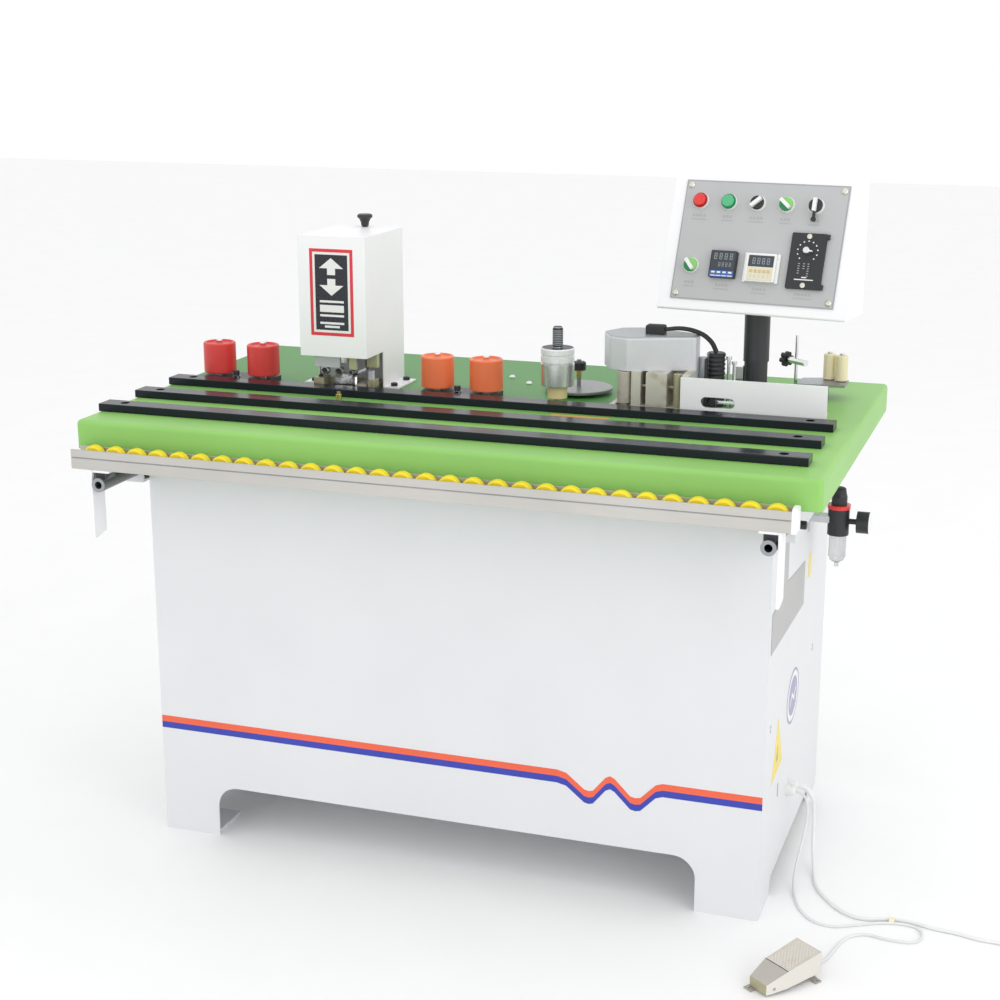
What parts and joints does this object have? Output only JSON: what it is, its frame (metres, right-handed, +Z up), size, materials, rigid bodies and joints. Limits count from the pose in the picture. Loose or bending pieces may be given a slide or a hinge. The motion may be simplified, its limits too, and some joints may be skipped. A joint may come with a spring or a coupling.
{
  "type": "edge banding machine",
  "caption": "Floor-standing edge banding machine: green worktable with glide bars and a slide-out roller rail, press rollers, trimming unit, glue pot, infeed fence and a tilted control box.",
  "frame": {"origin": "on the floor, at the centre of the four anchor-bolt holes in the foot plates", "axes": "+X along the machine towards the infeed end and the control box, +Y to the back, +Z up; azimuth 0 faces the front with the roller rail"},
  "size_m": [1.759, 0.9311, 1.2158],
  "materials": {
    "cabinet_white": "satin powder coat",
    "panel_white": "satin powder coat",
    "table_green": "satin textured paint",
    "bar_black": "gloss",
    "screw_dark": "black oxide",
    "bracket_black": "satin",
    "cover_white": "satin",
    "trim_cream": "satin",
    "disc_grey": "satin",
    "glue_cream": "cast and ground",
    "pot_grey": "cast",
    "lead_black": "matte",
    "conduit_black": "matte",
    "bracket_steel": "satin",
    "post_black": "satin",
    "guide_grey": "ground",
    "regulator_black": "matte",
    "gland_white": "matte",
    "cord_grey": "matte",
    "plug_grey": "matte",
    "pedal_cord_grey": "matte",
    "pedal_dark": "painted",
    "motor_grey": "satin",
    "chain_steel": "oiled",
    "board_zinc": "zinc plated",
    "rail_aluminium": "anodised",
    "wheel_yellow": "semi-matte",
    "fitting_white": "satin",
    "tube_steel": "plated",
    "knob_black": "matte",
    "roller_red": "semi-gloss",
    "head_grey": "cast",
    "cutter_steel": "ground",
    "drum_aluminium": "turned",
    "brass_knob": "turned",
    "glue_roller_brown": "knurled, glue stained",
    "fence_white": "satin",
    "box_white": "satin powder coat",
    "plate_grey": "satin",
    "instrument_black": "matte",
    "button_red": "gloss",
    "button_green": "gloss",
    "selector_green": "gloss",
    "key_chrome": "polished",
    "clamp_chrome": "polished",
    "guide_cream": "matte",
    "tread_steel": "worn"
  },
  "bodies": {
    "machine": {"cabinet_shell": "cabinet_white", "rear_panel": "panel_white", "table_top": "table_green", "glide_bars": "bar_black", "table_screws": "screw_dark", "roller_brackets": "bracket_black", "trim_cover": "cover_white", "trim_base": "trim_cream", "reel_disc": "disc_grey", "glue_tank": "glue_cream", "pot_housing": "pot_grey", "heater_lead": "lead_black", "lead_conduit": "conduit_black", "infeed_bracket": "bracket_steel", "post": "post_black", "guide_plate": "guide_grey", "air_regulator": "regulator_black", "cord_glands": "gland_white", "mains_lead": "cord_grey", "mains_coil": "cord_grey", "mains_plug": "plug_grey", "pedal_cord": "pedal_cord_grey", "pedal_base": "pedal_dark", "feed_motor": "motor_grey", "drive_chain": "chain_steel", "electrics_board": "board_zinc"},
    "rail": {"rail_channel": "rail_aluminium", "rail_wheels": "wheel_yellow", "rail_end_fittings": "fitting_white", "guide_tubes": "tube_steel"},
    "console": {"control_box": "box_white", "panel_plate": "plate_grey", "panel_instruments": "instrument_black"},
    "lock_screw_left": {"lock_screw_left": "knob_black"},
    "lock_screw_right": {"lock_screw_right": "knob_black"},
    "press_roller_1": {"press_roller_1": "roller_red"},
    "press_roller_2": {"press_roller_2": "roller_red"},
    "press_roller_3": {"press_roller_3": "roller_red"},
    "press_roller_4": {"press_roller_4": "roller_red"},
    "trim_head_upper": {"trim_head_upper": "head_grey"},
    "trim_cutter_upper": {"trim_cutter_upper": "cutter_steel"},
    "trim_cutter_lower": {"trim_cutter_lower": "cutter_steel"},
    "trim_height_knob": {"trim_height_knob": "knob_black"},
    "drive_roller": {"drive_roller": "drum_aluminium"},
    "disc_knob": {"disc_knob": "brass_knob"},
    "glue_roller": {"glue_roller": "glue_roller_brown"},
    "fence_plate": {"fence_plate": "fence_white"},
    "button_red": {"button_red": "button_red"},
    "button_green": {"button_green": "button_green"},
    "selector_black": {"selector_black": "knob_black"},
    "selector_green_upper": {"selector_green_upper": "selector_green"},
    "selector_green_lower": {"selector_green_lower": "selector_green"},
    "key_switch": {"key_switch": "key_chrome"},
    "speed_dial": {"speed_dial": "knob_black"},
    "band_clamp": {"band_clamp": "clamp_chrome"},
    "star_knob": {"star_knob": "knob_black"},
    "guide_roller_1": {"guide_roller_1": "guide_cream"},
    "guide_roller_2": {"guide_roller_2": "guide_cream"},
    "regulator_knob": {"regulator_knob": "knob_black"},
    "pedal_tread": {"pedal_tread": "tread_steel"}
  },
  "joints": [
    {"name": "rail_slide", "type": "slide", "parent": "machine", "child": "rail", "axis": [0, -1, 0], "range_m": [0, 0.17]},
    {"name": "lock_screw_left_turn", "type": "hinge", "parent": "machine", "child": "lock_screw_left", "pos_m": [-0.6, -0.299, 0.701], "axis": [-1, 0, 0], "range_deg": [0, 360]},
    {"name": "lock_screw_right_turn", "type": "hinge", "parent": "machine", "child": "lock_screw_right", "pos_m": [0.6, -0.299, 0.701], "axis": [1, 0, 0], "range_deg": [0, 360]},
    {"name": "press_roller_1_spin", "type": "hinge", "parent": "machine", "child": "press_roller_1", "pos_m": [-0.584, 0.024, 0.843], "axis": [0, 0, 1], "continuous": true},
    {"name": "press_roller_2_spin", "type": "hinge", "parent": "machine", "child": "press_roller_2", "pos_m": [-0.491, 0.024, 0.843], "axis": [0, 0, 1], "continuous": true},
    {"name": "press_roller_3_spin", "type": "hinge", "parent": "machine", "child": "press_roller_3", "pos_m": [-0.133, 0.024, 0.843], "axis": [0, 0, 1], "continuous": true},
    {"name": "press_roller_4_spin", "type": "hinge", "parent": "machine", "child": "press_roller_4", "pos_m": [-0.037, 0.024, 0.843], "axis": [0, 0, 1], "continuous": true},
    {"name": "trim_head_lift", "type": "slide", "parent": "machine", "child": "trim_head_upper", "axis": [0, 0, 1], "range_m": [0, 0.02]},
    {"name": "trim_height_turn", "type": "hinge", "parent": "machine", "child": "trim_height_knob", "pos_m": [-0.317, 0.125, 1.09], "axis": [0, 0, 1], "range_deg": [0, 1800]},
    {"name": "trim_cutter_upper_spin", "type": "hinge", "parent": "trim_head_upper", "child": "trim_cutter_upper", "pos_m": [-0.313, 0.008, 0.861], "axis": [0, 0, 1], "continuous": true},
    {"name": "trim_cutter_lower_spin", "type": "hinge", "parent": "machine", "child": "trim_cutter_lower", "pos_m": [-0.313, 0.008, 0.8], "axis": [0, 0, 1], "continuous": true},
    {"name": "drive_roller_spin", "type": "hinge", "parent": "machine", "child": "drive_roller", "pos_m": [0.105, 0.008, 0.85], "axis": [0, 0, 1], "continuous": true},
    {"name": "glue_roller_spin", "type": "hinge", "parent": "machine", "child": "glue_roller", "pos_m": [0.229, 0.008, 0.84], "axis": [0, 0, 1], "continuous": true},
    {"name": "disc_knob_turn", "type": "hinge", "parent": "machine", "child": "disc_knob", "pos_m": [0.112, 0.122, 0.842], "axis": [0, 0, 1], "range_deg": [-360, 360]},
    {"name": "fence_slide", "type": "slide", "parent": "machine", "child": "fence_plate", "axis": [1, 0, 0], "range_m": [-0.02, 0.012]},
    {"name": "console_swivel", "type": "hinge", "parent": "machine", "child": "console", "pos_m": [0.443, 0.126, 0.98], "axis": [0, 0, 1], "range_deg": [-40, 40]},
    {"name": "button_red_press", "type": "slide", "parent": "console", "child": "button_red", "axis": [0.1373, 0.9296, -0.342], "range_m": [0, 0.004], "stiffness_N_per_m": 400, "springref_m": -0.002},
    {"name": "button_green_press", "type": "slide", "parent": "console", "child": "button_green", "axis": [0.1373, 0.9296, -0.342], "range_m": [0, 0.004], "stiffness_N_per_m": 400, "springref_m": -0.002},
    {"name": "selector_black_turn", "type": "hinge", "parent": "console", "child": "selector_black", "pos_m": [0.43963, 0.11044, 1.16078], "axis": [-0.1373, -0.9296, 0.342], "range_deg": [-45, 45]},
    {"name": "selector_green_upper_turn", "type": "hinge", "parent": "console", "child": "selector_green_upper", "pos_m": [0.49206, 0.10269, 1.16078], "axis": [-0.1373, -0.9296, 0.342], "range_deg": [-45, 45]},
    {"name": "selector_green_lower_turn", "type": "hinge", "parent": "console", "child": "selector_green_lower", "pos_m": [0.32892, 0.08633, 1.05083], "axis": [-0.1373, -0.9296, 0.342], "range_deg": [-45, 45]},
    {"name": "key_turn", "type": "hinge", "parent": "console", "child": "key_switch", "pos_m": [0.54449, 0.09495, 1.16078], "axis": [-0.1373, -0.9296, 0.342], "range_deg": [0, 90]},
    {"name": "speed_dial_turn", "type": "hinge", "parent": "console", "child": "speed_dial", "pos_m": [0.53846, 0.06784, 1.08466], "axis": [-0.1373, -0.9296, 0.342], "range_deg": [-140, 140]},
    {"name": "band_clamp_turn", "type": "hinge", "parent": "machine", "child": "band_clamp", "pos_m": [0.501, 0.215, 0.866], "axis": [0, 0, 1], "range_deg": [-30, 30]},
    {"name": "star_knob_turn", "type": "hinge", "parent": "band_clamp", "child": "star_knob", "pos_m": [0.48143, 0.23056, 0.866], "axis": [0.7828, -0.6222, 0], "range_deg": [-180, 180]},
    {"name": "guide_roller_1_spin", "type": "hinge", "parent": "machine", "child": "guide_roller_1", "pos_m": [0.558, 0.245, 0.855], "axis": [0, 0, 1], "continuous": true},
    {"name": "guide_roller_2_spin", "type": "hinge", "parent": "machine", "child": "guide_roller_2", "pos_m": [0.582, 0.234, 0.855], "axis": [0, 0, 1], "continuous": true},
    {"name": "regulator_knob_turn", "type": "hinge", "parent": "machine", "child": "regulator_knob", "pos_m": [0.612, 0.074, 0.65], "axis": [0, 0, 1], "range_deg": [-360, 360]},
    {"name": "pedal_press", "type": "hinge", "parent": "machine", "child": "pedal_tread", "pos_m": [0.61449, -0.51636, 0.012], "axis": [-0.809, 0.5878, 0], "range_deg": [0, 5], "stiffness_Nm_per_rad": 20, "springref_deg": -5.73}
  ],
  "couplings": [
    {"joint": "glue_roller_spin", "follows": "drive_roller_spin", "ratio": 1},
    {"joint": "trim_height_turn", "follows": "trim_head_lift", "rad_per_m": 1570.8}
  ]
}
